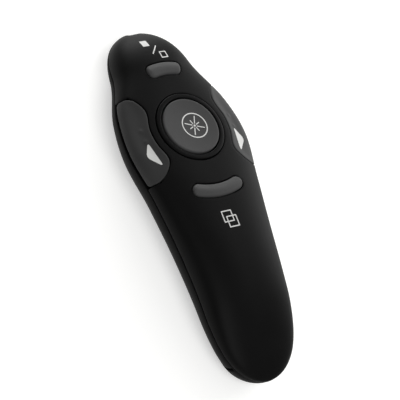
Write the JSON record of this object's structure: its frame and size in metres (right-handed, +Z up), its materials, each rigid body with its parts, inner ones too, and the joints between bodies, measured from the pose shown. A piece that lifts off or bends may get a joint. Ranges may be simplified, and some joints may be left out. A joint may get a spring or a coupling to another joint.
{
  "type": "wireless presentation clicker",
  "caption": "Waisted hand-held presentation remote with a round laser button in a ring, two side keys, two small buttons, a battery door, a power slider and a stowed USB receiver.",
  "frame": {"origin": "centre of the bounding box, on the flat of the underside that it rests on", "axes": "+Y along the body towards the laser end, +X to the right of the hand that points with it, +Z up out of the round button"},
  "size_m": [0.0454, 0.124, 0.0222],
  "materials": {
    "soft_touch_black": "matt soft-touch coating over moulded ABS",
    "satin_black_abs": "fine-grained moulded ABS",
    "ring_black": "satin moulded ABS",
    "disc_grey": "satin moulded ABS, dished",
    "key_grey": "satin moulded ABS",
    "button_grey": "satin moulded ABS",
    "slider_black": "moulded, grooved for the finger nail",
    "white_nylon": "moulded nylon",
    "switch_steel": "pressed, nickel plated",
    "circuit_green": "glass-fibre board with solder mask",
    "chip_black": "moulded epoxy",
    "ceramic_tan": "fired ceramic",
    "barrel_brass": "turned brass",
    "lens_acrylic": "clear moulded lens",
    "window_red": "dark red tinted acrylic window",
    "cell_jacket": "printed film over a steel can",
    "contact_nickel": "nickel-plated spring steel",
    "screw_steel": "zinc-plated steel, cross recess",
    "contact_gold": "gold-plated strips"
  },
  "bodies": {
    "case": {"top_shell": "soft_touch_black", "bottom_shell": "satin_black_abs", "button_ring": "ring_black", "power_switch": "switch_steel", "circuit_board": "circuit_green", "radio_chip": "chip_black", "crystal": "switch_steel", "capacitors": "ceramic_tan", "laser_barrel": "barrel_brass", "laser_lens": "lens_acrylic", "laser_diode": "switch_steel", "laser_driver_board": "circuit_green", "laser_window": "window_red", "laser_bezel": "ring_black", "left_cell": "cell_jacket", "right_cell": "cell_jacket", "positive_contact": "contact_nickel", "negative_contact": "contact_nickel", "bridge_contact": "contact_nickel", "head_spring": "contact_nickel", "tail_spring": "contact_nickel", "case_screws": "screw_steel", "board_screws": "screw_steel", "laser_switch": "chip_black", "page_back_switch": "chip_black", "page_forward_switch": "chip_black", "blank_screen_switch": "chip_black", "window_switch": "chip_black"},
    "door": {"battery_door": "satin_black_abs"},
    "laser_button_set": {"laser_button": "disc_grey", "laser_plunger": "white_nylon"},
    "page_back_set": {"page_back_key": "key_grey", "page_back_plunger": "white_nylon"},
    "page_forward_set": {"page_forward_key": "key_grey", "page_forward_plunger": "white_nylon"},
    "blank_screen_set": {"blank_screen_button": "button_grey", "blank_screen_plunger": "white_nylon"},
    "window_set": {"window_button": "button_grey", "window_plunger": "white_nylon"},
    "power_slider_set": {"power_slider": "slider_black", "power_lever": "white_nylon"},
    "receiver": {"receiver_cap": "satin_black_abs", "receiver_plug_sleeve": "switch_steel", "receiver_tongue": "white_nylon", "receiver_contacts": "contact_gold", "receiver_board": "circuit_green"}
  },
  "joints": [
    {"name": "laser_press", "type": "slide", "parent": "case", "child": "laser_button_set", "axis": [0, 0, -1], "range_m": [0, 0.0004], "stiffness_N_per_m": 900},
    {"name": "page_back_press", "type": "slide", "parent": "case", "child": "page_back_set", "axis": [0, 0, -1], "range_m": [0, 0.0004], "stiffness_N_per_m": 900},
    {"name": "page_forward_press", "type": "slide", "parent": "case", "child": "page_forward_set", "axis": [0, 0, -1], "range_m": [0, 0.0004], "stiffness_N_per_m": 900},
    {"name": "blank_screen_press", "type": "slide", "parent": "case", "child": "blank_screen_set", "axis": [0, 0, -1], "range_m": [0, 0.0004], "stiffness_N_per_m": 900},
    {"name": "window_press", "type": "slide", "parent": "case", "child": "window_set", "axis": [0, 0, -1], "range_m": [0, 0.0004], "stiffness_N_per_m": 900},
    {"name": "power_slide", "type": "slide", "parent": "case", "child": "power_slider_set", "axis": [0, 1, 0], "range_m": [0, 0.0025]},
    {"name": "battery_door_slide", "type": "slide", "parent": "case", "child": "door", "axis": [0, -1, 0], "range_m": [0, 0.008]},
    {"name": "receiver_pull", "type": "slide", "parent": "case", "child": "receiver", "axis": [1, 0, 0], "range_m": [0, 0.014]}
  ]
}
